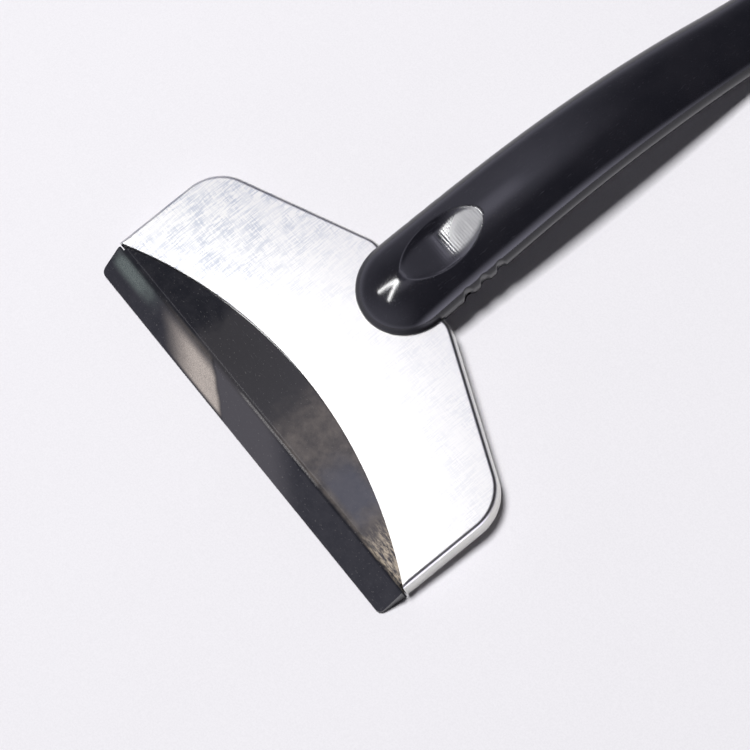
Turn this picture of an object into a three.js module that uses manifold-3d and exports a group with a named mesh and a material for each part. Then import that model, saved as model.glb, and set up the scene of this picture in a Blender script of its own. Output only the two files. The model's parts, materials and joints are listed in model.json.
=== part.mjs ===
// Windshield ice scraper: pressed steel cover over a moulded blade, two-shell moulded handle.
// Units are millimetres. +Z is up, +X runs along the blade, +Y runs from the blade to the handle.
// The pieces are drawn in the head frame: Z = 0 is the lower edge of the cover wall and
// Y = 0 is the line through the two front corners of the cover. The last step lays the tool
// on the ground, on the front edge of the blade and the tail of the handle.
import * as THREE from 'three';
import { mergeVertices } from 'three/addons/utils/BufferGeometryUtils.js';
import Module from 'manifold-3d';

const wasm = await Module();
wasm.setup();

// ---------------------------------------------------------------- driving dimensions
const headWidth = 125;              // overall width of the cover
const coverHeight = 5.7;            // lower edge of the wall to the top face
const sheet = 0.6;                  // thickness of the steel sheet
const bendRadius = 1.15;            // outside radius of the bend between top and wall
const hemWidth = 1.1;               // how far the lower edge turns in under the blade
const slopeAngle = 0.389;           // slope of the rear edges, radians
const slopeOffset = 53.3;           // distance of the rear slope line from the frame origin
const rearEdge = 51.0;              // flat middle part of the rear edge
const cornerRadius = 12.9;          // rear corners of the head
const shoulderRadius = 8;           // bend between the slope and the flat part
const arcRise = 14.8;               // rise of the concave front edge of the cover

const fitGap = 0.25;                // side play between cover wall and blade
const footGap = 0.3;                // side play between the hem and the foot of the blade
const faceGap = 0.1;                // play between stacked faces
const bladeBottom = -0.5;           // underside of the blade moulding
const bladeStep = 1.65;             // cover top down to the exposed blade face
const bladeHalf = 62.4;             // half length of the exposed blade
const creaseY = -0.3;               // line where the bevel starts
const frontY = -8.45;               // cutting edge
const frontTop = 0.3;               // top of the cutting edge
const skin = 1.7;                   // moulded wall thickness of the blade
const ribThick = 1.5;               // ribs under the blade
const ribX = [7, 20, 34, 48];       // places of the ribs to each side of the middle
const ribY = 23.95;                 // place of the rib along the blade

const noseCentre = 49.1;            // centre of the round nose
const noseRadius = 13.2;            // radius of the round nose
const neckHalf = 13.2;              // half width of the handle at the neck
const neckY = 50;                   // station of the neck
const taper = 0.0138;               // loss of half width per mm behind the neck
const taperMore = 0.00011;          // growth of that loss towards the tail
const tailY = 180;                  // end of the handle
const tailRound = 10;               // length of the rounded tail
const archY = 84;                   // highest station of the arched handle
const archFront = 1600;             // in front of it the drop is the distance squared over this
const archRadius = 250;             // radius of the arch
const easeY = 152;                  // the arch runs out towards the tail from here
const easeRate = 0.006;             // loss of its slope per mm
const midLine = 7.0;                // height of the widest line at the arch top
const crownRise = 6.5;              // widest line up to the crown
const crownTail = 5.8;              // the same at the tail
const bellyNeck = 10.3;             // widest line down to the belly at the neck
const bellyTail = 6.9;              // widest line down to the belly behind the neck
const bellyLift = 0.2;              // share of the belly lost towards the tail
const sidePower = 0.92;             // fullness of the section: 1 is an ellipse, less is squarer
const crownPower = 0.94;
const bellyPower = 0.9;
const wall = 2.2;                   // wall of both shells
const seam = 0.14;                  // open seam between the shells
const seamDrop = 0.9;               // widest line down to the seam

const hollowTip = 75.4;             // pointed rear end of the thumb hollow
const hollowLength = 25.8;          // length of the thumb hollow
const hollowHalf = 6.8;             // greatest half width of the thumb hollow
const hollowSag = 1.4;              // steers how far its floor lies below its edges
const hollowDeepest = 0.5;          // deepest station, as a share of the length from the tip
const hollowFlat = 6;               // flatness of the floor across the hollow
const hollowReach = 1.22;           // the cutter reaches this many half widths to each side

const grooveFirst = 59.8;           // first anti-slip groove
const groovePitch = 5.35;           // spacing of the grooves
const grooveRadius = 2.0;           // radius of the groove cutter
const grooveDepth = 0.75;           // depth of a groove

const headScrewX = 5.8;             // the two screws that clamp the head
const headScrewY = 45.4;
const shellScrewY = [82, 118, 154]; // the three screws that join the shells
const screwCore = 1.35;             // radius of the screw shank
const screwHead = 2.7;              // radius of the screw head
const screwPlay = 0.3;              // play around shank and head
const bossRadius = 3.4;             // radius of the screw bosses

const half = headWidth / 2;
const coverTop = coverHeight;
const footInset = sheet + hemWidth + footGap;
const slotTop = coverTop + faceGap;
const slotBottom = bladeBottom - faceGap;
const slotRear = rearEdge + 0.4;

// ---------------------------------------------------------------- solid helpers
function toSolid(geometry) {
  const g = geometry.clone();
  g.deleteAttribute('normal');
  g.deleteAttribute('uv');
  const m = mergeVertices(g, 1e-5);
  const vertProperties = new Float32Array(m.attributes.position.array);
  const triVerts = new Uint32Array(m.index.array);
  if (signedVolume(vertProperties, triVerts) < 0) triVerts.reverse();
  return new wasm.Manifold(new wasm.Mesh({ numProp: 3, vertProperties, triVerts }));
}

function signedVolume(points, index) {
  const a = new THREE.Vector3();
  const b = new THREE.Vector3();
  const c = new THREE.Vector3();
  let sum = 0;
  for (let i = 0; i < index.length; i += 3) {
    a.fromArray(points, index[i] * 3);
    b.fromArray(points, index[i + 1] * 3);
    c.fromArray(points, index[i + 2] * 3);
    sum += a.dot(b.cross(c));
  }
  return sum;
}

function toGeometry(solid) {
  const mesh = solid.getMesh();
  const g = new THREE.BufferGeometry();
  const count = mesh.vertProperties.length / mesh.numProp;
  const positions = new Float32Array(count * 3);
  for (let i = 0; i < count; i++) {
    for (let k = 0; k < 3; k++) {
      positions[i * 3 + k] = mesh.vertProperties[i * mesh.numProp + k];
    }
  }
  g.setAttribute('position', new THREE.BufferAttribute(positions, 3));
  g.setIndex(Array.from(mesh.triVerts));
  return g;
}

// closed solid through a list of rings that all have the same number of points
function loft(rings) {
  const n = rings[0].length;
  const points = [];
  const index = [];
  for (const ring of rings) {
    for (const p of ring) points.push(p.x, p.y, p.z);
  }
  for (let k = 0; k < rings.length - 1; k++) {
    for (let i = 0; i < n; i++) {
      const a = k * n + i;
      const b = k * n + ((i + 1) % n);
      index.push(a, b, b + n);
      index.push(a, b + n, a + n);
    }
  }
  const ends = [[rings[0], 0, true], [rings[rings.length - 1], (rings.length - 1) * n, false]];
  for (const [ring, base, flip] of ends) {
    const centre = new THREE.Vector3();
    for (const p of ring) centre.add(p);
    centre.divideScalar(n);
    const c = points.length / 3;
    points.push(centre.x, centre.y, centre.z);
    for (let i = 0; i < n; i++) {
      const a = base + i;
      const b = base + ((i + 1) % n);
      if (flip) index.push(c, b, a);
      else index.push(c, a, b);
    }
  }
  const g = new THREE.BufferGeometry();
  g.setAttribute('position', new THREE.BufferAttribute(new Float32Array(points), 3));
  g.setIndex(index);
  return toSolid(g);
}

function plate(shape, bottom, top, segments = 12) {
  const g = new THREE.ExtrudeGeometry(shape, {
    depth: top - bottom,
    bevelEnabled: false,
    curveSegments: segments,
  });
  g.translate(0, 0, bottom);
  return toSolid(g);
}

// a shape drawn in (Y, Z), extruded along X from -reach to +reach
function sidePlate(shape, reach) {
  const g = new THREE.ExtrudeGeometry(shape, { depth: 2 * reach, bevelEnabled: false });
  g.translate(0, 0, -reach);
  g.applyMatrix4(new THREE.Matrix4().set(
    0, 0, 1, 0,
    1, 0, 0, 0,
    0, 1, 0, 0,
    0, 0, 0, 1,
  ));
  return toSolid(g);
}

function box(x0, x1, y0, y1, z0, z1) {
  const g = new THREE.BoxGeometry(x1 - x0, y1 - y0, z1 - z0);
  g.translate((x0 + x1) / 2, (y0 + y1) / 2, (z0 + z1) / 2);
  return toSolid(g);
}

function cylinder(radius, x, y, z0, z1, segments = 24) {
  const g = new THREE.CylinderGeometry(radius, radius, z1 - z0, segments);
  g.rotateX(Math.PI / 2);
  g.translate(x, y, (z0 + z1) / 2);
  return toSolid(g);
}

// ---------------------------------------------------------------- outline of the head
function arcPoints(cx, cy, radius, from, to, steps) {
  const out = [];
  for (let i = 0; i <= steps; i++) {
    const a = from + ((to - from) * i) / steps;
    out.push(new THREE.Vector2(cx + radius * Math.cos(a), cy + radius * Math.sin(a)));
  }
  return out;
}

// outline of the head moved inwards by inset; the front is left long and trimmed later
function headOutline(inset) {
  const c = Math.cos(slopeAngle);
  const s = Math.sin(slopeAngle);
  const cornerX = half - cornerRadius;
  const cornerY = (slopeOffset - cornerRadius - cornerX * s) / c;
  const shoulderY = rearEdge - shoulderRadius;
  const shoulderX = (slopeOffset - shoulderRadius - shoulderY * c) / s;
  const rise = Math.PI / 2 - slopeAngle;
  const right = [new THREE.Vector2(half - inset, -14)];
  right.push(...arcPoints(cornerX, cornerY, cornerRadius - inset, 0, rise, 9));
  right.push(...arcPoints(shoulderX, shoulderY, shoulderRadius - inset, rise, Math.PI / 2, 4));
  const left = right.map((p) => new THREE.Vector2(-p.x, p.y)).reverse();
  return right.concat(left);
}

function ringAt(inset, z) {
  return headOutline(inset).map((p) => new THREE.Vector3(p.x, p.y, z));
}

// the outline as a solid with rounded top and bottom edges
function headBlock(inset, bottom, top, topRadius, bottomRadius) {
  const rings = [];
  const steps = 4;
  if (bottomRadius > 0) {
    for (let i = 0; i < steps; i++) {
      const a = (Math.PI / 2) * (i / steps);
      const inward = bottomRadius * (1 - Math.sin(a));
      rings.push(ringAt(inset + inward, bottom + bottomRadius * (1 - Math.cos(a))));
    }
  }
  rings.push(ringAt(inset, bottom + bottomRadius));
  rings.push(ringAt(inset, top - topRadius));
  for (let i = 1; i <= steps && topRadius > 0; i++) {
    const a = (Math.PI / 2) * (i / steps);
    rings.push(ringAt(inset + topRadius * (1 - Math.cos(a)), top - topRadius + topRadius * Math.sin(a)));
  }
  return loft(rings);
}

// everything in front of the concave arc, moved forward by shift
function frontOfArc(shift, bottom, top) {
  const radius = (half * half + arcRise * arcRise) / (2 * arcRise);
  const centreY = arcRise - radius - shift;
  const reach = half + 6;
  const edge = Math.asin(reach / radius);
  const arc = arcPoints(0, centreY, radius, Math.PI / 2 - edge, Math.PI / 2 + edge, 44);
  const shape = new THREE.Shape();
  shape.moveTo(-reach, -30);
  shape.lineTo(reach, -30);
  for (const p of arc) shape.lineTo(p.x, p.y);
  return plate(shape, bottom, top);
}

// ---------------------------------------------------------------- steel cover
function buildCover() {
  const outer = headBlock(0, 0, coverTop, bendRadius, 0.5);
  const cavity = headBlock(sheet, sheet, coverTop - sheet, bendRadius - sheet, 0);
  const mouth = headBlock(sheet + hemWidth, -2, coverTop - 2, 0, 0);
  const wallEnd = new THREE.Shape();
  wallEnd.moveTo(-20, -2);
  wallEnd.lineTo(1.2, -2);
  wallEnd.lineTo(1.2, 0);
  wallEnd.quadraticCurveTo(0.05, 0.1, 0, 1.4);
  wallEnd.lineTo(0, coverTop + 2);
  wallEnd.lineTo(-20, coverTop + 2);
  let cover = outer.subtract(cavity).subtract(mouth);
  cover = cover.subtract(frontOfArc(0, -2, coverTop + 2));
  cover = cover.subtract(sidePlate(wallEnd, half + 2));
  for (const side of [-1, 1]) {
    cover = cover.subtract(cylinder(screwCore + screwPlay, side * headScrewX, headScrewY, -2, coverTop + 2));
  }
  return cover;
}

// ---------------------------------------------------------------- scraper blade
function exposedPlan() {
  const narrowing = 0.5;
  const footHalf = half - footInset;
  const shape = new THREE.Shape();
  const front = bladeHalf - narrowing;
  shape.moveTo(-front + 2, frontY);
  shape.lineTo(front - 2, frontY);
  shape.quadraticCurveTo(front - 0.1, frontY + 0.05, front, frontY + 2.1);
  shape.lineTo(bladeHalf, creaseY - 0.9);
  shape.quadraticCurveTo(bladeHalf, creaseY, bladeHalf - 0.8, creaseY);
  shape.lineTo(footHalf, creaseY);
  shape.lineTo(footHalf, 16);
  shape.lineTo(-footHalf, 16);
  shape.lineTo(-footHalf, creaseY);
  shape.lineTo(-bladeHalf + 0.8, creaseY);
  shape.quadraticCurveTo(-bladeHalf, creaseY, -bladeHalf, creaseY - 0.9);
  shape.lineTo(-front, frontY + 2.1);
  shape.quadraticCurveTo(-front + 0.1, frontY + 0.05, -front + 2, frontY);
  return shape;
}

function bladeProfile() {
  const top = coverTop - bladeStep;
  const shape = new THREE.Shape();
  shape.moveTo(frontY + 0.25, bladeBottom);
  shape.lineTo(17, bladeBottom);
  shape.lineTo(17, top);
  shape.lineTo(creaseY + 0.5, top);
  shape.quadraticCurveTo(creaseY, top, creaseY - 0.5, top - 0.22);
  shape.lineTo(frontY + 0.2, frontTop + 0.05);
  shape.quadraticCurveTo(frontY, frontTop - 0.02, frontY, frontTop - 0.25);
  shape.lineTo(frontY, bladeBottom + 0.25);
  return shape;
}

function buildBlade() {
  const seat = sheet + fitGap;
  const top = coverTop - sheet - faceGap;
  const hemTop = sheet + 0.25;
  const block = headBlock(seat, hemTop, top, 0.5, 0);
  const foot = headBlock(footInset, bladeBottom, hemTop + 0.4, 0, 0);
  const ahead = frontOfArc(0.15, -3, coverTop + 2);
  let base = block.add(foot).subtract(ahead);
  const wedge = plate(exposedPlan(), bladeBottom - 1, coverTop).intersect(sidePlate(bladeProfile(), 80));
  const lead = wedge.intersect(frontOfArc(-1.0, -3, coverTop + 2));
  base = base.add(lead);
  let pocket = headBlock(footInset + skin, bladeBottom - 1, top - skin, 0, 0);
  pocket = pocket.subtract(frontOfArc(-3.2, -3, coverTop + 2));
  pocket = pocket.subtract(box(-16, 16, 32, 60, -3, 8));
  for (const x of ribX.concat(ribX.map((v) => -v))) {
    pocket = pocket.subtract(box(x - ribThick / 2, x + ribThick / 2, -20, 60, -3, 8));
  }
  pocket = pocket.subtract(box(-70, 70, ribY - ribThick / 2, ribY + ribThick / 2, -3, 8));
  base = base.subtract(pocket);
  for (const side of [-1, 1]) {
    base = base.subtract(cylinder(screwCore + screwPlay, side * headScrewX, headScrewY, -3, 8));
  }
  return base;
}

// ---------------------------------------------------------------- handle body
function archDrop(y) {
  const d = Math.min(y, easeY) - archY;
  if (d <= 0) return (d * d) / archFront;
  const rest = Math.sqrt(archRadius * archRadius - d * d);
  const past = Math.max(0, y - easeY);
  return archRadius - rest + (d / rest) * past - 0.5 * easeRate * past * past;
}

function smooth(a, b, t) {
  const u = Math.min(1, Math.max(0, t));
  return a + (b - a) * u * u * (3 - 2 * u);
}

function widest(y) {
  return midLine - archDrop(y);
}

// scale of the section near the rounded nose and tail
function noseScale(y) {
  const d = (noseCentre - y) / noseRadius;
  return d > 0 ? Math.sqrt(Math.max(0, 1 - d * d)) : 1;
}

function tailScale(y) {
  const d = (y - (tailY - tailRound)) / tailRound;
  return d > 0 ? Math.pow(Math.max(0, 1 - Math.pow(d, 2.3)), 0.5) : 1;
}

function halfWidth(y) {
  const back = Math.max(0, y - neckY);
  const open = neckHalf - taper * back - taperMore * back * back;
  return open * noseScale(y) * tailScale(y);
}

function crownHeight(y) {
  const open = smooth(crownRise, crownTail, (y - 90) / 90) - smooth(0.35, 0, (y - 40) / 26);
  return open * Math.pow(noseScale(y), 0.9) * tailScale(y);
}

function bellyHeight(y) {
  const open = smooth(bellyNeck, bellyTail, (y - 50) / 44) * smooth(1, 1 - bellyLift, (y - 140) / 30);
  return open * Math.pow(noseScale(y), 0.6) * tailScale(y);
}

function handleRing(y, shrink, count = 36) {
  const a = Math.max(0.02, halfWidth(y) - shrink);
  const up = Math.max(0.02, crownHeight(y) - shrink);
  const down = Math.max(0.02, bellyHeight(y) - shrink);
  const ring = [];
  for (let i = 0; i < count; i++) {
    const t = (2 * Math.PI * i) / count;
    const c = Math.cos(t);
    const s = Math.sin(t);
    const x = a * Math.sign(c) * Math.pow(Math.abs(c), sidePower);
    const z = s >= 0 ? up * Math.pow(s, crownPower) : -down * Math.pow(-s, bellyPower);
    ring.push(new THREE.Vector3(x, y, widest(y) + z));
  }
  return ring;
}

function handleStations(first, last) {
  const out = [];
  for (let i = 0; i <= 8; i++) {
    out.push(first + (noseCentre - first) * (1 - Math.cos(((Math.PI / 2) * i) / 8)));
  }
  for (let y = 54; y < last - tailRound - 2; y += 5.4) out.push(y);
  for (let i = 0; i <= 7; i++) {
    out.push(last - tailRound + tailRound * Math.sin(((Math.PI / 2) * i) / 7));
  }
  return out;
}

function handleBody() {
  const stations = handleStations(noseCentre - noseRadius + 0.01, tailY - 0.01);
  return loft(stations.map((y) => handleRing(y, 0)));
}

function handleCavity() {
  const rings = [];
  for (let y = noseCentre - noseRadius + wall + 1; y < tailY - wall - 2; y += 8) {
    rings.push(handleRing(y, wall, 20));
  }
  rings.push(handleRing(tailY - wall - 1, wall, 20));
  return loft(rings);
}

function seamHeight(y) {
  return widest(y) - seamDrop;
}

// region above (or below) the seam, with the slot for the head in front
function seamRegion(above) {
  const shape = new THREE.Shape();
  const level = above ? slotTop : slotBottom;
  const offset = above ? seam / 2 : -seam / 2;
  const far = above ? 40 : -60;
  shape.moveTo(20, far);
  shape.lineTo(20, level);
  shape.lineTo(slotRear, level);
  for (let y = slotRear; y < tailY + 8; y += 6) {
    shape.lineTo(y + 0.001, seamHeight(y) + offset);
  }
  shape.lineTo(tailY + 8, seamHeight(tailY + 8) + offset);
  shape.lineTo(tailY + 8, far);
  return sidePlate(shape, 40);
}

// ---------------------------------------------------------------- thumb hollow
function domeHeight(x, y) {
  const c = Math.pow(Math.min(1, Math.abs(x) / halfWidth(y)), 1 / sidePower);
  return widest(y) + crownHeight(y) * Math.pow(Math.sqrt(1 - c * c), crownPower);
}

// the smaller of two values, rounded over where they are closer than k
function softMin(a, b, k) {
  const h = Math.max(0, k - Math.abs(a - b)) / k;
  return Math.min(a, b) - (h * h * k) / 4;
}

function hollowCutter() {
  const rings = [];
  const steps = 16;
  for (let k = 0; k <= steps; k++) {
    const u = 0.002 + 0.996 * Math.pow(k / steps, 1.25);
    const y = hollowTip - hollowLength * u;
    const w = hollowHalf * Math.pow(4 * u * (1 - u), 0.62);
    const fall = Math.pow((1 - u) / (1 - hollowDeepest), 1.2);
    const sag = hollowSag * softMin(u / hollowDeepest, fall, 0.5);
    const edge = domeHeight(w, y);
    const ring = [];
    const across = 14;
    for (let i = 0; i <= across; i++) {
      const t = -hollowReach + (2 * hollowReach * i) / across;
      ring.push(new THREE.Vector3(t * w, y, edge - sag * (1 - Math.pow(Math.abs(t), hollowFlat))));
    }
    ring.push(new THREE.Vector3(hollowReach * w, y, 30));
    ring.push(new THREE.Vector3(-hollowReach * w, y, 30));
    rings.push(ring);
  }
  return loft(rings);
}

// ---------------------------------------------------------------- anti-slip grooves
function grooveCutter(y) {
  const points = [];
  const steps = 22;
  for (let i = 0; i <= steps; i++) {
    const deg = 24 - (228 * i) / steps;
    const t = (deg * Math.PI) / 180;
    const fade = Math.max(0, Math.abs(deg + 90) - 84) / 30;
    const out = grooveRadius - grooveDepth + 1.0 * fade * fade;
    const down = Math.sin(t) < 0 ? bellyHeight(y) : crownHeight(y);
    const x = (halfWidth(y) + out) * Math.cos(t);
    const z = widest(y) + (down + out) * Math.sin(t);
    points.push(new THREE.Vector3(x, y, z));
  }
  const path = new THREE.CatmullRomCurve3(points);
  const circle = new THREE.Shape();
  circle.absarc(0, 0, grooveRadius, 0, 2 * Math.PI, false);
  const g = new THREE.ExtrudeGeometry(circle, {
    steps: 22,
    extrudePath: path,
    bevelEnabled: false,
    curveSegments: 5,
  });
  return toSolid(g);
}

function grooveCutters() {
  let all = grooveCutter(grooveFirst);
  all = all.add(grooveCutter(grooveFirst + groovePitch));
  all = all.add(grooveCutter(grooveFirst + 2 * groovePitch));
  return all;
}

// ---------------------------------------------------------------- shells
function screwSpots() {
  const spots = [];
  for (const side of [-1, 1]) {
    spots.push({ x: side * headScrewX, y: headScrewY, seat: slotBottom - 1.6, tip: 9.4, top: slotTop });
  }
  for (const y of shellScrewY) {
    const split = seamHeight(y);
    spots.push({ x: 0, y, seat: split - 3.2, tip: split + 4.4, top: split });
  }
  return spots;
}

function buildUpperShell() {
  const region = seamRegion(true);
  const body = handleBody();
  let shell = body.subtract(handleCavity());
  for (const s of screwSpots()) {
    shell = shell.add(cylinder(bossRadius, s.x, s.y, s.top - 3, 30, 20).intersect(body));
  }
  shell = shell.add(box(-0.8, 0.8, 88, 148, -20, 30).intersect(body).subtract(box(-2, 2, 80, 160, -40, 4)));
  shell = shell.intersect(region);
  shell = shell.subtract(hollowCutter()).subtract(grooveCutters());
  shell = shell.add(hollowFloor(body).intersect(region));
  for (const s of screwSpots()) {
    shell = shell.subtract(cylinder(screwCore + 0.1, s.x, s.y, s.top - 6, s.tip + 0.3, 16));
  }
  return shell;
}

// skin that keeps the wall whole under the thumb hollow
function hollowFloor(body) {
  const scoop = hollowCutter();
  const lowered = scoop.translate([0, 0, -wall * 0.8]);
  const zone = box(-hollowHalf - 2, hollowHalf + 2, hollowTip - hollowLength, hollowTip, 5, 16);
  return lowered.intersect(zone).intersect(body).subtract(scoop);
}

function buildLowerShell() {
  const region = seamRegion(false);
  const body = handleBody();
  let shell = body.subtract(handleCavity());
  shell = shell.subtract(grooveCutters());
  const pad = cylinder(noseRadius - 1.4, 0, noseCentre, slotBottom - 3.4, slotBottom, 40);
  shell = shell.add(pad.intersect(body).intersect(box(-20, 20, 30, noseCentre + 2, -20, 20)));
  for (const s of screwSpots()) {
    shell = shell.add(cylinder(bossRadius, s.x, s.y, -60, s.top, 20).intersect(body));
  }
  shell = shell.intersect(region);
  for (const s of screwSpots()) {
    shell = shell.subtract(cylinder(screwCore + screwPlay, s.x, s.y, -60, 20, 16));
    shell = shell.subtract(cylinder(screwHead + screwPlay, s.x, s.y, -60, s.seat, 24));
  }
  for (const side of [-1, 1]) {
    const notch = box(-1.5, 1.5, -1.1, 1.1, -0.75, 0.75);
    const place = [side * (neckHalf - 0.6), grooveFirst - 0.6, seamHeight(58) - 0.6];
    shell = shell.subtract(notch.translate(place));
  }
  return shell;
}

// ---------------------------------------------------------------- screws
function buildScrew(spot) {
  const seat = spot.seat - 0.05;
  const profile = [
    new THREE.Vector2(0, 0),
    new THREE.Vector2(screwHead * 0.72, 0),
    new THREE.Vector2(screwHead * 0.93, 0.35),
    new THREE.Vector2(screwHead, 0.9),
    new THREE.Vector2(screwHead, 1.5),
    new THREE.Vector2(screwCore, 1.5),
    new THREE.Vector2(screwCore, spot.tip - seat + 0.3),
    new THREE.Vector2(screwCore * 0.45, spot.tip - seat + 1.5),
    new THREE.Vector2(0, spot.tip - seat + 1.5),
  ];
  const g = new THREE.LatheGeometry(profile, 14);
  g.rotateX(Math.PI / 2);
  g.translate(spot.x, spot.y, seat - 1.5);
  let screw = toSolid(g);
  const z = seat - 1.5;
  const arm = 1.5;
  const slot = 0.32;
  screw = screw.subtract(box(spot.x - arm, spot.x + arm, spot.y - slot, spot.y + slot, z - 1, z + 0.9));
  screw = screw.subtract(box(spot.x - slot, spot.x + slot, spot.y - arm, spot.y + arm, z - 1, z + 0.9));
  return screw;
}

// ---------------------------------------------------------------- assembly
function material(color, metalness, roughness) {
  return new THREE.MeshStandardMaterial({ color, metalness, roughness });
}

// angle at which the blade edge and the tail of the handle both touch the ground
function restTilt() {
  let tilt = 0;
  for (let y = 100; y < tailY; y += 0.5) {
    const z = widest(y) - bellyHeight(y);
    tilt = Math.max(tilt, Math.atan((bladeBottom - z) / (y - frontY - 0.25)));
  }
  return tilt;
}

const pieces = [
  ['head_cover', buildCover(), material(0xc9ccd2, 1, 0.3)],
  ['scraper_blade', buildBlade(), material(0x33353b, 0, 0.4)],
  ['handle_upper_shell', buildUpperShell(), material(0x1f2026, 0, 0.25)],
  ['handle_lower_shell', buildLowerShell(), material(0x222329, 0, 0.35)],
];
const names = [
  'head_screw_left', 'head_screw_right', 'shell_screw_front', 'shell_screw_middle', 'shell_screw_rear',
];
screwSpots().forEach((spot, i) => {
  pieces.push([names[i], buildScrew(spot), material(0x9a9ca0, 1, 0.35)]);
});

const part = new THREE.Group();
part.name = 'windshield_ice_scraper';
const tool = new THREE.Group();
tool.rotation.x = restTilt();
for (const [name, solid, look] of pieces) {
  const mesh = new THREE.Mesh(toGeometry(solid), look);
  mesh.name = name;
  tool.add(mesh);
}
part.add(tool);
part.updateMatrixWorld(true);
const bounds = new THREE.Box3().setFromObject(part, true);
const centre = bounds.getCenter(new THREE.Vector3());
tool.position.set(-centre.x, -centre.y, -bounds.min.z);
part.updateMatrixWorld(true);

export default part;
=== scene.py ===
import bmesh
import bpy
import json
import math
from mathutils import Matrix, Vector

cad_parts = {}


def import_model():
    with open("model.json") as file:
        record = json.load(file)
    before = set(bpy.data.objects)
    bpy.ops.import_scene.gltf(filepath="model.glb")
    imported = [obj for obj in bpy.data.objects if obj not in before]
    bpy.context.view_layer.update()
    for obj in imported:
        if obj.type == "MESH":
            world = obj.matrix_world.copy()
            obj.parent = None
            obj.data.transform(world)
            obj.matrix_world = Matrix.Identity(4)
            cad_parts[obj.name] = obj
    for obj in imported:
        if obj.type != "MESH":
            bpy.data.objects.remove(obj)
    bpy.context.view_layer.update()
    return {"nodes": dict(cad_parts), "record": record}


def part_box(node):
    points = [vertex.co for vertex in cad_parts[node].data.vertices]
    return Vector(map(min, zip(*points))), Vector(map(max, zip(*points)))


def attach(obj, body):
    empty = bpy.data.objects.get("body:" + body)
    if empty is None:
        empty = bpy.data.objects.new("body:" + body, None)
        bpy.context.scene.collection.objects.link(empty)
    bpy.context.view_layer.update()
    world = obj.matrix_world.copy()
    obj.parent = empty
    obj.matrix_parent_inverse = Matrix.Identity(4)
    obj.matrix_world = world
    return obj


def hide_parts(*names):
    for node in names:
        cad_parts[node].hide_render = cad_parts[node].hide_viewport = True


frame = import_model()
nodes = frame["nodes"]

# ---------------------------------------------------------------- head frame
# The pieces are drawn in millimetres in the head frame, where the cover lies level. The tilt
# and the place of that frame come from the flat mount on top of the cover.
PLATE_MOUNT_Y = 25.0
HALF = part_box("head_cover")[1].x * 1000
COVER_TOP = 5.7
mount = {m["name"]: m for m in frame["record"]["mounts"]}["plate_top"]
axis = Vector(mount["axis"])
TILT = math.atan2(-axis.y, axis.z)
TURN = Matrix.Rotation(TILT, 3, "X")
SHIFT = Vector(mount["pos_m"]) * 1000 - TURN @ Vector((0, PLATE_MOUNT_Y, COVER_TOP))


def to_row(x, y, z):
    return (TURN @ Vector((x, y, z)) + SHIFT) / 1000


# ---------------------------------------------------------------- camera
CAM_AZIMUTH = -15.90      # direction of the camera seen from above, degrees from +X
CAM_ELEVATION = 64.924
CAM_ROLL = -23.029
CAM_DISTANCE = 0.656675
AIM = Vector((0.011967, -0.0573, 0.005))
LENS, SENSOR = 124.8, 36.0


def place_camera():
    data = bpy.data.cameras.new("camera")
    data.lens = LENS
    data.sensor_width = SENSOR
    data.clip_start = 0.01
    data.clip_end = 20.0
    cam = bpy.data.objects.new("camera", data)
    bpy.context.scene.collection.objects.link(cam)
    az, el, roll = (math.radians(v) for v in (CAM_AZIMUTH, CAM_ELEVATION, CAM_ROLL))
    back = Vector((math.cos(el) * math.cos(az), math.cos(el) * math.sin(az), math.sin(el)))
    right = (-back).cross(Vector((0, 0, 1))).normalized()
    up = right.cross(-back)
    r = right * math.cos(roll) + up * math.sin(roll)
    u = up * math.cos(roll) - right * math.sin(roll)
    rot = Matrix((r, u, back)).transposed()
    cam.matrix_world = Matrix.Translation(AIM + back * CAM_DISTANCE) @ rot.to_4x4()
    bpy.context.scene.camera = cam


# ---------------------------------------------------------------- mesh helpers
MERGE = 2e-7              # metres; vertices closer than this become one
SLIVER = 1e-7             # metres; shorter edges are removed


def new_object(name, verts, faces, sharp=35):
    """Object from points in the head frame; edges sharper than the angle stay crisp."""
    mesh = bpy.data.meshes.new(name)
    mesh.from_pydata([to_row(*v) for v in verts], [], faces)
    ob = bpy.data.objects.new(name, mesh)
    bpy.context.scene.collection.objects.link(ob)
    bm = bmesh.new()
    bm.from_mesh(mesh)
    bmesh.ops.remove_doubles(bm, verts=bm.verts, dist=MERGE)
    bmesh.ops.dissolve_degenerate(bm, edges=bm.edges, dist=SLIVER)
    bmesh.ops.recalc_face_normals(bm, faces=bm.faces)
    bm.to_mesh(mesh)
    bm.free()
    smooth(ob, sharp)
    return ob


def smooth(ob, sharp):
    ob.data.polygons.foreach_set("use_smooth", [True] * len(ob.data.polygons))
    ob.data.set_sharp_from_angle(angle=math.radians(sharp))


def apply_modifiers(ob):
    bpy.context.view_layer.update()
    ev = ob.evaluated_get(bpy.context.evaluated_depsgraph_get())
    mesh = bpy.data.meshes.new_from_object(ev)
    ob.modifiers.clear()
    ob.data = mesh


def round_edges(ob, width, angle):
    """Small rounding, in metres, on every edge sharper than the angle."""
    edge = ob.modifiers.new("edge", "BEVEL")
    edge.width = width
    edge.segments = 2
    edge.limit_method = "ANGLE"
    edge.angle_limit = math.radians(angle)
    apply_modifiers(ob)


def level_normals(ob, sharp):
    """Shading follows the large faces, so a flat face stays flat beside a rounded edge."""
    smooth(ob, sharp)
    weighted = ob.modifiers.new("normals", "WEIGHTED_NORMAL")
    weighted.weight = 100
    weighted.keep_sharp = True
    apply_modifiers(ob)


def grid_faces(rows, cols, closed):
    faces = []
    for r in range(rows - 1):
        for c in range(cols if closed else cols - 1):
            d = (c + 1) % cols
            faces.append((r * cols + c, r * cols + d, (r + 1) * cols + d, (r + 1) * cols + c))
    return faces


def spread(a, b, n):
    return [a + (b - a) * i / n for i in range(n + 1)]


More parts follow.
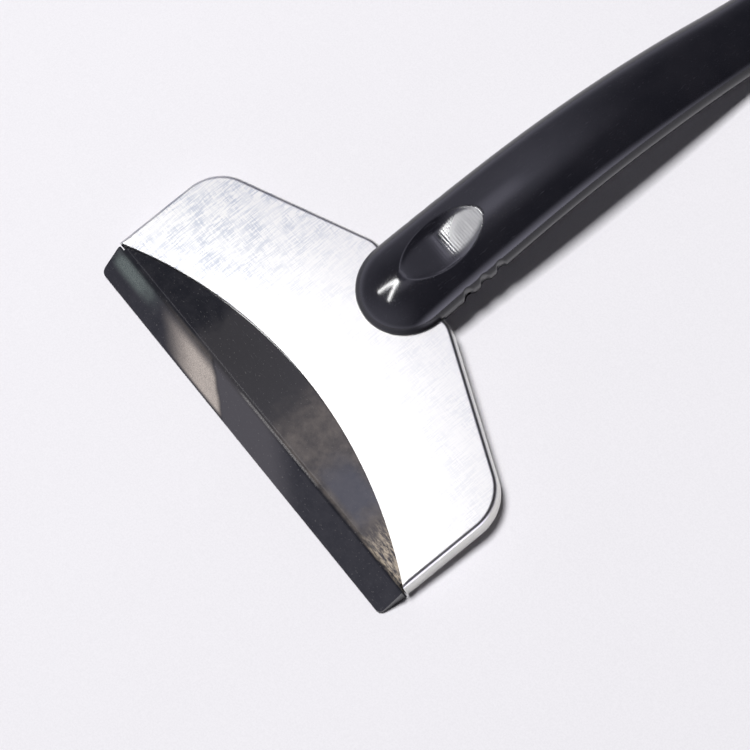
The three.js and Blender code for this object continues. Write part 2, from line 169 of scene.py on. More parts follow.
def arc(cx, cy, r, a, b, n):
    return [(cx + r * math.cos(t), cy + r * math.sin(t)) for t in spread(a, b, n)]


def ramp(y, start, length):
    """Smooth step from 0 at the start to 1 at its far end."""
    t = min(1.0, max(0.0, (y - start) / length))
    return t * t * (3 - 2 * t)


def soft_min(a, b, k):
    """The smaller value, with the corner between the two rounded over the width k."""
    h = max(0.0, k - abs(a - b)) / k
    return min(a, b) - h * h * k / 4


# ---------------------------------------------------------------- handle form
NOSE_Y, NOSE_R = 49.1, 13.2
TAIL_Y, TAIL_ROUND, TAIL_POWER = 180.0, 10.0, 2.3
NECK_Y, NECK_HALF = 50.0, 13.2
TAPER, TAPER_GAIN = 0.0138, 0.00011
WIDEST_Z = 7.0            # height of the widest line where the arch is highest
ARCH_Y, ARCH_R, ARCH_FRONT = 84.0, 250.0, 1600.0
EASE_Y, EASE_RATE = 152.0, 0.006
CROWN, CROWN_TAIL, CROWN_DIP = 6.5, 5.8, 0.35
CROWN_FALL, CROWN_RISE = (90, 90), (40, 26)      # start and length
BELLY_NECK, BELLY_GRIP, BELLY_LIFT = 10.3, 6.9, 0.2
BELLY_FALL, BELLY_RISE = (50, 44), (140, 30)     # start and length
CROWN_NOSE, BELLY_NOSE = 0.9, 0.6                # powers of the rounding at the nose
SIDE_POWER, CROWN_POWER, BELLY_POWER = 0.92, 0.94, 0.9   # 1 would make the section an ellipse
THINNEST = 0.02
SEAM, SEAM_DROP = 0.14, 0.9
SLOT_TOP, SLOT_BOTTOM, SLOT_REAR = COVER_TOP + 0.1, -0.6, 51.4
SLOT_STEP = 0.005
HOLLOW_TIP, HOLLOW_LEN, HOLLOW_HALF, HOLLOW_SAG = 75.4, 25.8, 6.8, 1.4
HOLLOW_OUTLINE = 0.62     # power of the outline; 0.5 would make it an ellipse
HOLLOW_DEEPEST = 0.5      # share of the length, from the tip
HOLLOW_NOSE_POWER, HOLLOW_BLEND = 1.2, 0.5
HOLLOW_FLAT = 6           # power of the floor across; higher is flatter
HOLLOW_REACH, HOLLOW_END, HOLLOW_EDGE = 1.22, 0.002, 0.16
GROOVES = [59.8 + 5.35 * i for i in range(3)]
GROOVE_R, GROOVE_DEPTH, GROOVE_MARGIN, GROOVE_BLEND = 2.0, 0.75, 0.3, 0.006
GROOVE_FULL, GROOVE_FADE = 84, 30                # degrees from straight down
HEAD_SCREW_X, HEAD_SCREW_Y, SHELL_SCREW_Y = 5.8, 45.4, (82.0, 118.0, 154.0)
BORE_R, BORE_FROM, HEAD_BORE, SHELL_BORE = 3.0, -60.0, 1.6, 3.2
NOTCH_HALF, NOTCH_IN, NOTCH_Y = (2.2, 1.3, 0.9), 0.6, 58
NOSE_ROWS, TAIL_ROWS, TAIL_GAP = 26, 18, 0.01
FINE_END, COARSE, UPPER_FINE, LOWER_FINE = 76.4, 1.3, 0.3, 0.4
UPPER_COLS, SIDE_COLS, UNDER_COLS = 150, 14, 110
SHELL_SHARP = 50


def widest(y):
    """Height of the widest line: an arch that eases off toward the tail."""
    d = min(y, EASE_Y) - ARCH_Y
    if d <= 0:
        return WIDEST_Z - d * d / ARCH_FRONT
    rest = math.sqrt(ARCH_R ** 2 - d * d)
    past = max(0.0, y - EASE_Y)
    return WIDEST_Z - (ARCH_R - rest + d / rest * past - 0.5 * EASE_RATE * past * past)


def nose_scale(y):
    d = (NOSE_Y - y) / NOSE_R
    return math.sqrt(max(0.0, 1 - d * d)) if d > 0 else 1.0


def tail_scale(y):
    d = (y - (TAIL_Y - TAIL_ROUND)) / TAIL_ROUND
    return math.sqrt(max(0.0, 1 - d ** TAIL_POWER)) if d > 0 else 1.0


def half_width(y):
    back = max(0.0, y - NECK_Y)
    half = NECK_HALF - TAPER * back - TAPER_GAIN * back * back
    return half * nose_scale(y) * tail_scale(y)


def crown(y):
    """Height above the widest line."""
    up = CROWN + (CROWN_TAIL - CROWN) * ramp(y, *CROWN_FALL) - CROWN_DIP * (1 - ramp(y, *CROWN_RISE))
    return up * nose_scale(y) ** CROWN_NOSE * tail_scale(y)


def belly(y):
    """Depth below the widest line."""
    down = BELLY_NECK + (BELLY_GRIP - BELLY_NECK) * ramp(y, *BELLY_FALL)
    down *= 1 - BELLY_LIFT * ramp(y, *BELLY_RISE)
    return down * nose_scale(y) ** BELLY_NOSE * tail_scale(y)


def section(y):
    """Half width, crown and belly at y, never quite zero."""
    return [max(THINNEST, size(y)) for size in (half_width, crown, belly)]


def ring_point(y, t):
    half, up, down = section(y)
    c, s = math.cos(t), math.sin(t)
    x = half * math.copysign(abs(c) ** SIDE_POWER, c)
    z = up * s ** CROWN_POWER if s >= 0 else -down * (-s) ** BELLY_POWER
    return x, widest(y) + z


def level_angle(y, level):
    """Angle at which the ring at y meets a height."""
    rise = level - widest(y)
    up, down = section(y)[1:]
    if rise >= 0:
        return math.asin(min(1.0, (rise / up) ** (1 / CROWN_POWER)))
    return -math.asin(min(1.0, (-rise / down) ** (1 / BELLY_POWER)))


def seam_height(y):
    return widest(y) - SEAM_DROP


def groove_cut(y, t):
    """Depth of the anti-slip grooves at a point of the ring."""
    from_below = abs((math.degrees(t) + 90 + 180) % 360 - 180)
    fade = max(0.0, from_below - GROOVE_FULL) / GROOVE_FADE
    out = GROOVE_R - GROOVE_DEPTH + fade * fade
    deep = 0.0
    for groove in GROOVES:
        d = y - groove
        if abs(d) < GROOVE_R + GROOVE_MARGIN:
            d = math.sqrt(max(0.0, GROOVE_R ** 2 - d * d)) - out
            deep += 0.5 * (d + math.sqrt(d * d + GROOVE_BLEND))
    return deep


def dome(x, y):
    """Height of the handle's top at a point, without the hollow."""
    c = min(1.0, abs(x) / half_width(y)) ** (1 / SIDE_POWER)
    return widest(y) + crown(y) * math.sqrt(max(0.0, 1 - c * c)) ** CROWN_POWER


def hollow_floor(x, y):
    """Height of the thumb hollow under a point, or None outside it."""
    u = (HOLLOW_TIP - y) / HOLLOW_LEN
    if not HOLLOW_END < u < 1 - HOLLOW_END:
        return None
    w = HOLLOW_HALF * (4 * u * (1 - u)) ** HOLLOW_OUTLINE
    if abs(x) > HOLLOW_REACH * w:
        return None
    toward_nose = ((1 - u) / (1 - HOLLOW_DEEPEST)) ** HOLLOW_NOSE_POWER
    sag = HOLLOW_SAG * soft_min(u / HOLLOW_DEEPEST, toward_nose, HOLLOW_BLEND)
    return dome(w, y) - sag * (1 - abs(x / w) ** HOLLOW_FLAT)


def handle_point(y, t):
    x, z = ring_point(y, t)
    cut = groove_cut(y, t)
    x -= cut * math.cos(t)
    z -= cut * math.sin(t)
    floor = hollow_floor(x, y) if math.sin(t) > 0.5 else None
    if floor is not None:
        z = soft_min(z, floor, HOLLOW_EDGE)
    return x, y, z


def stations(first, fine):
    """Places of the rings from nose to tail, closest over the hollow and the grooves."""
    ys = [first + (NECK_Y - first) * (1 - math.cos(math.pi / 2 * i / NOSE_ROWS))
          for i in range(NOSE_ROWS + 1)]
    y = NECK_Y
    while y < TAIL_Y - TAIL_ROUND - 1:
        y += fine if y < FINE_END else COARSE
        ys.append(y)
    for i in range(1, TAIL_ROWS + 1):
        ys.append(y + (TAIL_Y - TAIL_GAP - y) * math.sin(math.pi / 2 * i / TAIL_ROWS))
    return ys


def nose_start(top):
    """Station in front of which the nose doesn't reach its level on the head."""
    y = NOSE_Y - NOSE_R + 0.02
    while y < NOSE_Y:
        z = widest(y) + crown(y) if top else widest(y) - belly(y)
        if (z > SLOT_TOP) if top else (z < SLOT_BOTTOM):
            return y
        y += 0.01
    return y


def tube(name, rings):
    """Body through rings of points. The first ring is flat; a face closes the last."""
    cols = len(rings[0])
    faces = grid_faces(len(rings), cols, True)
    last = (len(rings) - 1) * cols
    faces.append(tuple(range(last, last + cols)))
    return new_object(name, [point for ring in rings for point in ring], faces, SHELL_SHARP)


def upper_shell():
    ys = stations(nose_start(True), UPPER_FINE)
    cut = next(i for i, y in enumerate(ys) if y > SLOT_REAR)
    ys[cut:cut] = [SLOT_REAR - SLOT_STEP, SLOT_REAR + SLOT_STEP]
    rings = []
    for y in ys:
        level = SLOT_TOP if y < SLOT_REAR else seam_height(y) + SEAM / 2
        start = level_angle(y, level)
        rings.append([handle_point(y, t) for t in spread(start, math.pi - start, UPPER_COLS - 1)])
    return tube("handle_grip_top", rings)


def lower_shell():
    ys = stations(nose_start(False), LOWER_FINE)
    cut = next(i for i, y in enumerate(ys) if y > SLOT_REAR)
    ys[cut:cut] = [SLOT_REAR, SLOT_REAR]
    step = level_angle(SLOT_REAR, SLOT_BOTTOM)
    rings = []
    for i, y in enumerate(ys):
        tongue = i <= cut
        low = level_angle(y, SLOT_BOTTOM) if tongue else step
        top = low if tongue else level_angle(y, seam_height(y) - SEAM / 2)
        ts = spread(top, low, SIDE_COLS)[:-1] + spread(low, -math.pi - low, UNDER_COLS)
        ts += spread(-math.pi - low, -math.pi - top, SIDE_COLS)[1:]
        rings.append([handle_point(y, t) for t in ts])
    ob = tube("handle_grip_bottom", rings)
    cut_away(ob, bores() + notches())
    return ob


def prism(name, ring, low, high):
    """Upright prism on a ring of (x, y) points."""
    n = len(ring)
    verts = [(x, y, low) for x, y in ring] + [(x, y, high) for x, y in ring]
    faces = [(i, (i + 1) % n, n + (i + 1) % n, n + i) for i in range(n)]
    faces += [tuple(reversed(range(n))), tuple(range(n, 2 * n))]
    return new_object(name, verts, faces)


def bores():
    """Counterbores of the five screws."""
    seats = [(side * HEAD_SCREW_X, HEAD_SCREW_Y, SLOT_BOTTOM - HEAD_BORE) for side in (-1, 1)]
    seats += [(0.0, y, seam_height(y) - SHELL_BORE) for y in SHELL_SCREW_Y]
    return [prism("bore", arc(x, y, BORE_R, 0, 2 * math.pi, 40)[:-1], BORE_FROM, z)
            for x, y, z in seats]


def notches():
    """Small openings in the seam beside the first groove."""
    y, z = GROOVES[0] - NOTCH_IN, seam_height(NOTCH_Y) - NOTCH_IN
    hx, hy, hz = NOTCH_HALF
    corners = ((-hx, -hy), (hx, -hy), (hx, hy), (-hx, hy))
    places = [side * (NECK_HALF - NOTCH_IN) for side in (-1, 1)]
    return [prism("notch", [(x + dx, y + dy) for dx, dy in corners], z - hz, z + hz)
            for x in places]


def cut_away(ob, cutters):
    for cutter in cutters:
        cut = ob.modifiers.new("cut", "BOOLEAN")
        cut.operation = "DIFFERENCE"
        cut.solver = "EXACT"
        cut.object = cutter
        apply_modifiers(ob)
    for cutter in cutters:
        bpy.data.objects.remove(cutter)
    smooth(ob, SHELL_SHARP)


# ---------------------------------------------------------------- steel cover form
SHEET, BEND, HEM = 0.6, 1.15, 1.1
FOLD, HEM_STEP, TOP_STEP = 0.5, 0.15, 0.08
SLOPE, SLOPE_OFF, REAR = 0.389, 53.3, 51.0
CORNER_R, SHOULDER_R, ARC_RISE = 12.9, 8.0, 14.8
WALL_LEVELS = (0.8, 1.1, 1.4, 2.4, 3.5)
CUT_HEIGHT, CUT_LENGTH, CUT_POWER = 1.4, 1.3, 2.4
ARC_COLS, COVER_SHARP = 120, 40
COVER_EDGE, COVER_EDGE_ANGLE = 0.0001, 60


def arc_y(x):
    """Front edge of the steel: a shallow arc between the two front corners."""
    radius = (HALF ** 2 + ARC_RISE ** 2) / (2 * ARC_RISE)
    return ARC_RISE - radius + math.sqrt(radius ** 2 - x * x)


def head_ring(inset, start):
    """Outline of the cover from its right front corner round the rear to the left one."""
    c, s = math.cos(SLOPE), math.sin(SLOPE)
    cx = HALF - CORNER_R
    cy = (SLOPE_OFF - CORNER_R - cx * s) / c
    sy = REAR - SHOULDER_R
    sx = (SLOPE_OFF - SHOULDER_R - sy * c) / s
    rise = math.pi / 2 - SLOPE
    right = [(HALF - inset, y) for y in spread(start, cy, 12)[:-1]]
    right += arc(cx, cy, CORNER_R - inset, 0, rise, 40)
    right += arc(sx, sy, SHOULDER_R - inset, rise, math.pi / 2, 12)
    return right + [(-x, y) for x, y in reversed(right)]


def wall_front(z):
    """Front end of the side wall at a height: its lower corner is rounded off."""
    if z >= CUT_HEIGHT:
        return 0.0
    return CUT_LENGTH * (1 - math.sqrt(1 - (1 - z / CUT_HEIGHT) ** CUT_POWER))


def cover_levels():
    """Inset and height of each row of the sheet's outer face, from the hem up to the top."""
    quarter = math.pi / 2
    levels = [(SHEET + HEM - HEM_STEP * k, 0.0) for k in range(5)] + [(FOLD, 0.0)]
    levels += [(FOLD * (1 - math.sin(t)), FOLD * (1 - math.cos(t)))
               for t in spread(0, quarter, 6)[1:]]
    levels += [(0.0, z) for z in WALL_LEVELS]
    low = COVER_TOP - BEND
    levels += [(BEND * (1 - math.cos(t)), low + BEND * math.sin(t))
               for t in spread(0, quarter, 10)]
    return levels + [(BEND + TOP_STEP, COVER_TOP)]


def cover():
    levels = cover_levels()
    verts = []
    for inset, z in levels:
        start = max(arc_y(HALF - inset), wall_front(z))
        verts += [(x, y, z) for x, y in head_ring(inset, start)]
    cols = len(verts) // len(levels)
    faces = grid_faces(len(levels), cols, False)
    reach = HALF - BEND - TOP_STEP
    front = [(x, arc_y(x), COVER_TOP) for x in spread(-reach, reach, ARC_COLS)][1:-1]
    faces.append(tuple(range(len(verts) - cols, len(verts) + len(front))))
    verts += front
    ob = new_object("steel_cover_sheet", verts, faces, COVER_SHARP)
    top = ob.data.polygons[len(ob.data.polygons) - 1]
    if top.normal.z < 0:
        ob.data.flip_normals()
    thick = ob.modifiers.new("thickness", "SOLIDIFY")
    thick.thickness = SHEET / 1000
    thick.offset = -1
    thick.use_even_offset = True
    round_edges(ob, COVER_EDGE, COVER_EDGE_ANGLE)
    level_normals(ob, COVER_SHARP)
    return ob


# ---------------------------------------------------------------- blade form
BLADE_EDGE, BLADE_EDGE_ANGLE = 0.00012, 50
BLADE_FLAT, BLADE_SHARP = 0.4, 25     # degrees


def blade():
    """The CAD moulding with its flat faces joined and its edges rounded."""
    source = nodes["scraper_blade"]
    ob = bpy.data.objects.new("blade_moulding", source.data.copy())
    bpy.context.scene.collection.objects.link(ob)
    bm = bmesh.new()
    bm.from_mesh(ob.data)
    bmesh.ops.remove_doubles(bm, verts=bm.verts, dist=MERGE)
    bmesh.ops.dissolve_limit(bm, angle_limit=math.radians(BLADE_FLAT),
                             verts=bm.verts, edges=bm.edges)
    bm.to_mesh(ob.data)
    bm.free()
    round_edges(ob, BLADE_EDGE, BLADE_EDGE_ANGLE)
    level_normals(ob, BLADE_SHARP)
    return ob


# ---------------------------------------------------------------- material helpers
class Nodes:
    """Short names for building the node tree of a material or the world."""

    def __init__(self, owner):
        owner.use_nodes = True
        self.owner = owner
        self.tree = owner.node_tree

    def put(self, socket, value):
        if isinstance(value, bpy.types.NodeSocket):
            self.tree.links.new(value, socket)
        else:
            socket.default_value = value

    def node(self, kind, inputs=None, **settings):
        n = self.tree.nodes.new(kind)
        for k, v in settings.items():
            setattr(n, k, v)
        for k, v in (inputs or {}).items():
            self.put(n.inputs[k], v)
        return n

    def head_mm(self, scale=(1, 1, 1)):
        """Object coordinates turned into millimetres of the head frame, then scaled."""
        co = self.node("ShaderNodeTexCoord").outputs["Object"]
        move = -(TURN.transposed() @ SHIFT)
        mm = self.node("ShaderNodeMapping", {"Vector": co, "Location": move,
                                             "Rotation": (-TILT, 0, 0),
                                             "Scale": (1000, 1000, 1000)}).outputs[0]
        if scale == (1, 1, 1):
            return mm
        return self.node("ShaderNodeMapping", {"Vector": mm, "Scale": scale}).outputs[0]

    def noise(self, vector, scale, detail, rough):
        return self.node("ShaderNodeTexNoise", {"Vector": vector, "Scale": scale, "Detail": detail,
                                                "Roughness": rough}).outputs["Fac"]

    def math(self, op, a, b=0.0, clamp=False):
        n = self.node("ShaderNodeMath", operation=op, use_clamp=clamp)
        self.put(n.inputs[0], a)
        self.put(n.inputs[1], b)
        return n.outputs[0]

    def add(self, a, b, clamp=False):
        return self.math("ADD", a, b, clamp)

    def sub(self, a, b):
        return self.math("SUBTRACT", a, b)

    def mul(self, a, b, clamp=False):
        return self.math("MULTIPLY", a, b, clamp)

    def remap(self, value, a, b, c=0.0, d=1.0, smooth_it=True):
        n = self.node("ShaderNodeMapRange", {"Value": value, "From Min": a, "From Max": b,
                                             "To Min": c, "To Max": d})
        n.interpolation_type = "SMOOTHSTEP" if smooth_it else "LINEAR"
        return n.outputs["Result"]

    def window(self, value, a, b, c, d):
        """1 between b and c, fading to 0 at a and at d."""
        return self.mul(self.remap(value, a, b), self.sub(1.0, self.remap(value, c, d)))

    def mix(self, fac, a, b):
        n = self.node("ShaderNodeMix", data_type="RGBA")
        self.put(n.inputs["Factor"], fac)
        self.put(n.inputs[6], a if not isinstance(a, tuple) else (*a, 1))
        self.put(n.inputs[7], b if not isinstance(b, tuple) else (*b, 1))
        return n.outputs[2]

    def split(self, vector):
        return self.node("ShaderNodeSeparateXYZ", {"Vector": vector}).outputs

    def bump(self, height, distance, strength, before=None):
        n = self.node("ShaderNodeBump", {"Height": height, "Distance": distance,
                                         "Strength": strength})
        if before is not None:
            self.put(n.inputs["Normal"], before)
        return n.outputs[0]

    def set(self, **values):
        shader = self.tree.nodes["Principled BSDF"]
        for k, v in values.items():
            self.put(shader.inputs[k.replace("_", " ")], v)
        return self.owner


# ---------------------------------------------------------------- steel
STEEL, ZINC = (0.725, 0.72, 0.675), (0.62, 0.62, 0.63)
WEAR_AND_SHADE_SHARE = (0.58, 0.62, 0.72)       # of the tint, where the brushing is worn and its reflection is painted darker
WEAR_AND_SHADE_X = (-8, -48, 0.3, 1.0)          # wear and painted shade grow from the first x to the second


def brushed_steel(name, tint):
    n = Nodes(bpy.data.materials.new(name))
    mm = n.head_mm()
    along = n.noise(n.head_mm((2.9, 0.25, 2.9)), 1.0, 3, 0.65)
    across = n.noise(n.head_mm((0.22, 2.6, 2.6)), 1.0, 3, 0.6)
    patch = n.noise(mm, 0.16, 4, 0.6)
    grain = n.add(n.mul(along, 0.68), n.mul(across, 0.32))
    # Painted shade: the colour darkens toward -X where the reflection dims, in streaks along the
    # brushing.
    wear_and_painted_light = n.mul(n.remap(grain, 0.44, 0.56), n.remap(patch, 0.35, 0.65, 0.35, 1.0))
    wear_and_painted_light = n.mul(wear_and_painted_light, n.remap(n.split(mm)[0], *WEAR_AND_SHADE_X))
    rough = n.remap(wear_and_painted_light, 0.0, 1.0, 0.30, 0.38, False)
    colour = n.mix(wear_and_painted_light, tint, tuple(c * k for c, k in zip(tint, WEAR_AND_SHADE_SHARE)))
    return n.set(Base_Color=colour, Metallic=1.0, Roughness=rough,
                 Normal=n.bump(grain, 0.00002, 0.7))


# ---------------------------------------------------------------- handle plastic
GRIP_DARK, GRIP_LIGHT = (0.0095, 0.0095, 0.0135), (0.0125, 0.0122, 0.0165)
GRIP_MARKS = (0.06, 0.06, 0.07)
RUB_Y = (58, 68, 74.5, 75.6)          # where thumbs have rubbed the hollow
RUB_PIVOT, RUB_LEAN, RUB_SIDE = 70, 0.5, (-9, 0)
RUB_RIM = (-0.1, 0.3)                 # fade across the hollow's rim
RUB_ROUGH, RUB_POLISH = 0.27, 1.0
PLASTIC_IOR = 1.5


def hollow_rub(n, x, y):
    """Mask of the rubbed part of the thumb hollow."""
    u = n.mul(n.sub(HOLLOW_TIP, y), 1 / HOLLOW_LEN)
    reach = n.mul(n.mul(u, n.sub(1.0, u)), 4.0, clamp=True)
    reach = n.mul(n.math("POWER", reach, HOLLOW_OUTLINE), HOLLOW_HALF)
    inside = n.sub(reach, n.math("ABSOLUTE", x))
    leaning = n.add(x, n.mul(n.sub(y, RUB_PIVOT), RUB_LEAN))
    rub = n.mul(n.window(y, *RUB_Y), n.remap(inside, *RUB_RIM))
    return n.mul(rub, n.remap(leaning, *RUB_SIDE))


def grip_plastic(name):
    n = Nodes(bpy.data.materials.new(name))
    mm = n.head_mm()
    cloud = n.noise(mm, 0.12, 3, 0.5)
    fine = n.noise(mm, 5.0, 3, 0.6)
    speck = n.remap(n.noise(mm, 2.6, 2, 0.5), 0.70, 0.76)
    scratch = n.remap(n.noise(n.head_mm((1.2, 0.12, 1.2)), 2.0, 3, 0.7), 0.62, 0.72)
    waves = n.node("ShaderNodeTexWave", {"Vector": n.head_mm((0.35, 1.0, 0.0)), "Scale": 0.42,
                                         "Distortion": 3.0, "Detail": 2.0, "Detail Scale": 0.7},
                   bands_direction="Y").outputs["Fac"]
    rub = hollow_rub(n, *n.split(mm)[:2])
    polish = n.add(PLASTIC_IOR, n.mul(rub, RUB_POLISH))
    colour = n.mix(n.remap(cloud, 0.3, 0.7), GRIP_DARK, GRIP_LIGHT)
    colour = n.mix(n.mul(n.add(speck, scratch), 0.25), colour, GRIP_MARKS)
    rough = n.add(n.remap(cloud, 0.3, 0.7, 0.10, 0.13), n.mul(scratch, 0.10))
    rough = n.add(rough, n.mul(rub, RUB_ROUGH))
    normal = n.bump(fine, 0.00001, 0.22)
    normal = n.bump(n.mul(waves, rub), 0.00007, 0.55, normal)
    return n.set(Base_Color=colour, Roughness=rough, IOR=polish, Normal=normal)


# ---------------------------------------------------------------- blade plastic
# Ranges are millimetres in the head frame. Four values fade in, then out. The bevel has y
# below zero and the flat above it. SLANT runs along lines that lean across the bevel.
BLADE_DARK, BLADE_LIGHT = (0.013, 0.0135, 0.018), (0.021, 0.021, 0.026)
CREASE, CREASE_DULL = (-0.7, 0.3), (-1.3, -0.7, 0.3, 0.9)
WOBBLE, SLANT, SLANT_Y = 7.0, 1.6, 1.5
# Painted sheen: the flat is lighter from about x -30 on toward +X.
PAINTED_SHEEN, PAINTED_SHEEN_X = (0.042, 0.040, 0.044), (-30, -24)
# Painted warm reflection in patches across the flat.
WARM_REFLECTION, WARM_REFLECTION_X = (0.135, 0.117, 0.108), (0, 14, 44, 54)
BLUE, BLUE_X, BLUE_Y = (0.066, 0.070, 0.094), (20, 30, 38, 44), (0.5, 2.5, 8, 12)
# Painted highlight of the key lamp on the bevel, light and warm.
PAINTED_HIGHLIGHT, PAINTED_HIGHLIGHT_SLANT = (0.50, 0.44, 0.40), (-44, -26, -19.2, -16.2)
PAINTED_HIGHLIGHT_FRONT, PAINTED_HIGHLIGHT_FADE = (-8.4, -7.4), (-0.9, -3.4, 0.15, 1.0)
GREYED, GREYED_SLANT = (0.072, 0.068, 0.076), (-17.5, -16.0, 4, 20)
# Painted greenish reflection near the left end.
GREEN_REFLECTION, GREEN_REFLECTION_X, GREEN_REFLECTION_Y = (0.16, 0.195, 0.185), (-63, -58, -52, -40), (-5.6, -3.2, -2.0, -0.2)
SCUFF, SCUFF_X, SCUFF_Y = (0.30, 0.29, 0.29), (-9, -3, 20, 30), (-0.75, -0.4, -0.2, 0.15)
# Painted golden reflection on the flat near the right end.
GOLD_REFLECTION, GOLD_REFLECTION_X = (0.62, 0.52, 0.40), (43, 51)
DOTS, SCRATCHES = (0.13, 0.125, 0.125), (0.12, 0.12, 0.13)


def blade_plastic(name):
    n = Nodes(bpy.data.materials.new(name))
    mm = n.head_mm()
    x, y = n.split(mm)[:2]
    fine = n.noise(mm, 4.5, 4, 0.7)
    mottle = n.noise(mm, 0.28, 5, 0.7)
    wobble = n.sub(n.noise(mm, 0.3, 4, 0.6), 0.5)
    wavy_x = n.add(x, n.mul(wobble, WOBBLE))
    slant = n.add(n.add(x, n.mul(n.add(y, SLANT_Y), SLANT)), n.mul(wobble, SLANT))
    flat = n.remap(y, *CREASE)
    bevel = n.sub(1.0, flat)

    # Painted sheen on the flat.
    painted_sheen = n.mul(flat, n.remap(wavy_x, *PAINTED_SHEEN_X))
    # Painted warm reflection, patchy.
    warm_reflection = n.mul(n.mul(flat, n.window(wavy_x, *WARM_REFLECTION_X)), n.remap(mottle, 0.1, 0.9))
    blue = n.mul(n.window(wavy_x, *BLUE_X), n.window(y, *BLUE_Y))
    # Painted highlight on the bevel.
    painted_highlight = n.mul(n.window(slant, *PAINTED_HIGHLIGHT_SLANT), n.mul(bevel, n.remap(y, *PAINTED_HIGHLIGHT_FRONT)))
    painted_highlight = n.mul(painted_highlight, n.remap(y, *PAINTED_HIGHLIGHT_FADE))
    painted_highlight = n.mul(painted_highlight, n.remap(fine, 0.3, 0.62, 0.5, 1.0))
    greyed = n.mul(n.window(slant, *GREYED_SLANT), bevel)
    # Painted greenish reflection.
    green_reflection = n.mul(n.window(wavy_x, *GREEN_REFLECTION_X), n.window(y, *GREEN_REFLECTION_Y))
    green_reflection = n.mul(green_reflection, n.remap(fine, 0.3, 0.62, 0.35, 1.0))
    scuff = n.mul(n.window(y, *SCUFF_Y), n.window(wavy_x, *SCUFF_X))
    scuff = n.mul(scuff, n.remap(fine, 0.4, 0.6))
    # Painted golden reflection.
    gold_reflection = n.remap(n.noise(n.head_mm((0.5, 1.7, 1.0)), 0.9, 4, 0.7), 0.36, 0.68)
    gold_reflection = n.mul(gold_reflection, n.mul(flat, n.remap(wavy_x, *GOLD_REFLECTION_X)))
    dots = n.remap(n.noise(mm, 1.7, 1, 0.5), 0.70, 0.74)
    scratch = n.remap(n.noise(n.head_mm((0.35, 2.4, 1.0)), 1.6, 3, 0.75), 0.63, 0.70)

    colour = n.mix(n.remap(mottle, 0.35, 0.7), BLADE_DARK, BLADE_LIGHT)
    for mask, share, tone in ((painted_sheen, 0.8, PAINTED_SHEEN), (warm_reflection, 1.0, WARM_REFLECTION), (blue, 0.7, BLUE),
                              (painted_highlight, 1.0, PAINTED_HIGHLIGHT), (greyed, 0.8, GREYED), (green_reflection, 0.7, GREEN_REFLECTION),
                              (scuff, 0.8, SCUFF), (gold_reflection, 0.75, GOLD_REFLECTION), (dots, 0.5, DOTS),
                              (scratch, 0.35, SCRATCHES)):
        colour = n.mix(n.mul(mask, share), colour, tone)

    grit = n.remap(n.noise(mm, 3.0, 3, 0.7), 0.52, 0.7)
    # Roughness follows the painted highlight and reflections, and the grit.
    wear_and_painted_light = n.add(n.add(painted_highlight, green_reflection), n.mul(n.add(warm_reflection, grit), 0.06), clamp=True)
    crease = n.window(y, *CREASE_DULL)
    rough = n.add(n.remap(wear_and_painted_light, 0.0, 1.0, 0.05, 0.34, False), n.mul(fine, 0.03))
    rough = n.add(rough, n.mul(crease, 0.4))
    dull = n.sub(0.5, n.mul(crease, 0.47))
    normal = n.bump(fine, 0.00002, n.remap(wear_and_painted_light, 0.0, 1.0, 0.08, 0.45))
    return n.set(Base_Color=colour, Roughness=rough, Specular_IOR_Level=dull, Normal=normal)


# ---------------------------------------------------------------- floor and light
FLOOR_SIZE = 6.0
FLOOR_DARK, FLOOR_LIGHT = (0.80, 0.785, 0.82), (0.84, 0.825, 0.86)
KEY_AT, KEY_SIZE, KEY_STRENGTH = (-0.22, -0.10, 1.6), (0.40, 0.40), 55
STRIP_APEX = Vector((-0.41, -0.19, 0.90))
STRIP_ENDS = {"strip_left": (-0.56, -0.60, 0.90), "strip_right": (-0.29, -0.56, 0.90)}
STRIP_AIM, STRIP_WIDTH, STRIP_STRENGTH = (0, -0.03, 0), 0.036, 40
HAZE = (0.05, 0.40, 0.62, 0.028)      # two heights of a direction, then the brightness at each
SKY_TINT, GLOSS_TINT = (1.0, 0.98, 1.06), (0.97, 0.95, 1.16)
# Soft lights of the studio as the glossy surfaces see them. A direction's X and Y give its place.
# Each has a centre, a reach in X and Y, and a brightness.
GLOWS = [
    ((-0.32, -0.08), (0.15, 0.30), 1.0),     # above the blade and the front of the head
    ((-0.43, 0.10), (0.60, 0.38), 0.85),     # streak along the top of the handle
    ((0.0, -1.0), (1.6, 0.95), 0.8),         # room behind the blade
    ((-1.0, 0.0), (0.55, 1.2), 0.45),        # room beyond the left side
    ((-0.42, 0.04), (0.16, 0.11), 1.2),      # lamp above the thumb hollow
    ((1.1, 0.0), (0.40, 1.0), 3.2),          # room beyond the right side
]
GLOW_CUT = (-0.04, 0.07)              # glows behind the head fade out between these Y values


def area(name, at, aim, size, strength, along=(0, 1, 0)):
    """Rectangular lamp; strength is the brightness of its face."""
    data = bpy.data.lights.new(name, "AREA")
    data.shape = "RECTANGLE"
    data.size, data.size_y = size
    data.energy = strength * size[0] * size[1] * math.pi
    ob = bpy.data.objects.new(name, data)
    bpy.context.scene.collection.objects.link(ob)
    at, aim = Vector(at), Vector(aim)
    z = (at - aim).normalized()
    y = Vector(along)
    y = (y - z * y.dot(z)).normalized()
    x = y.cross(z)
    ob.matrix_world = Matrix.Translation(at) @ Matrix((x, y, z)).transposed().to_4x4()
    return ob


def strip(name, a, b):
    """Long thin lamp from a to b that only shows in reflections."""
    b = Vector(b)
    size = (STRIP_WIDTH, (b - a).length)
    ob = area(name, (a + b) / 2, STRIP_AIM, size, STRIP_STRENGTH, along=b - a)
    ob.visible_diffuse = False
    ob.visible_shadow = False


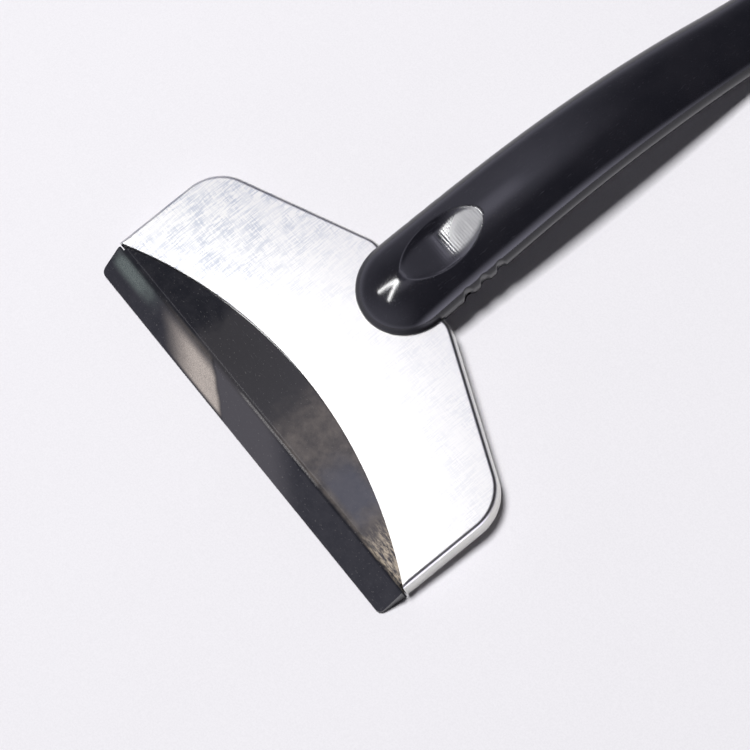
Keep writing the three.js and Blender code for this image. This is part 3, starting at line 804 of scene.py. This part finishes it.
def stage():
    bpy.ops.mesh.primitive_plane_add(size=FLOOR_SIZE, location=(0, 0, 0))
    ob = bpy.context.object
    ob.name = "floor"
    n = Nodes(bpy.data.materials.new("floor_cloth"))
    mm = n.head_mm()
    weave = n.noise(mm, 2.2, 3, 0.6)
    fold = n.noise(mm, 0.008, 2, 0.5)
    colour = n.mix(n.remap(weave, 0.3, 0.7), FLOOR_DARK, FLOOR_LIGHT)
    ob.data.materials.append(n.set(Base_Color=colour, Roughness=0.85,
                                   Normal=n.bump(fold, 0.012, 0.35, n.bump(weave, 0.00004, 0.4))))


def world():
    """A plain haze for everything, and the glows on top of it for glossy surfaces."""
    owner = bpy.data.worlds.new("studio")
    bpy.context.scene.world = owner
    n = Nodes(owner)
    x, y, z = n.split(n.node("ShaderNodeTexCoord").outputs["Generated"])
    haze = n.remap(z, *HAZE)
    gloss = haze
    for (cx, cy), (rx, ry), strength in GLOWS:
        dx = n.math("DIVIDE", n.sub(x, cx), rx)
        dy = n.math("DIVIDE", n.sub(y, cy), ry)
        away = n.math("SQRT", n.add(n.mul(dx, dx), n.mul(dy, dy)))
        glow = n.remap(away, 1.0, 0.0, 0.0, strength)
        if cy > 0:
            glow = n.mul(glow, n.remap(y, *GLOW_CUT))
        gloss = n.add(gloss, glow)
    seen = n.node("ShaderNodeLightPath").outputs["Is Glossy Ray"]
    back = n.tree.nodes["Background"]
    n.put(back.inputs["Color"], n.mix(seen, SKY_TINT, GLOSS_TINT))
    mixed = n.node("ShaderNodeMix", {"Factor": seen}, data_type="FLOAT")
    n.put(mixed.inputs[2], haze)
    n.put(mixed.inputs[3], gloss)
    n.put(back.inputs["Strength"], mixed.outputs[0])


def light():
    world()
    bpy.context.scene.view_settings.view_transform = "Standard"
    key = area("key", KEY_AT, (0, 0, 0), KEY_SIZE, KEY_STRENGTH)
    key.visible_glossy = False
    for name, end in STRIP_ENDS.items():
        strip(name, STRIP_APEX, end)


# ---------------------------------------------------------------- build
place_camera()
stage()
light()

steel = brushed_steel("brushed_stainless", STEEL)
zinc = brushed_steel("zinc_plated_steel", ZINC)
grip = grip_plastic("gloss_black_plastic")
moulded = blade_plastic("satin_blade_plastic")

pieces = [
    (upper_shell(), "handle_upper_shell", "handle_upper_plastic", grip),
    (lower_shell(), "handle_lower_shell", "handle_lower_plastic", grip),
    (cover(), "head_cover", "steel_cover", steel),
    (blade(), "scraper_blade", "blade_plastic", moulded),
]
for ob, node, slot, material in pieces:
    ob.data.materials.clear()
    ob.data.materials.append(material)
    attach(ob, "root")
    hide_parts(node)
for name, ob in nodes.items():
    if "screw" in name:
        for s in ob.material_slots:
            s.material = zinc
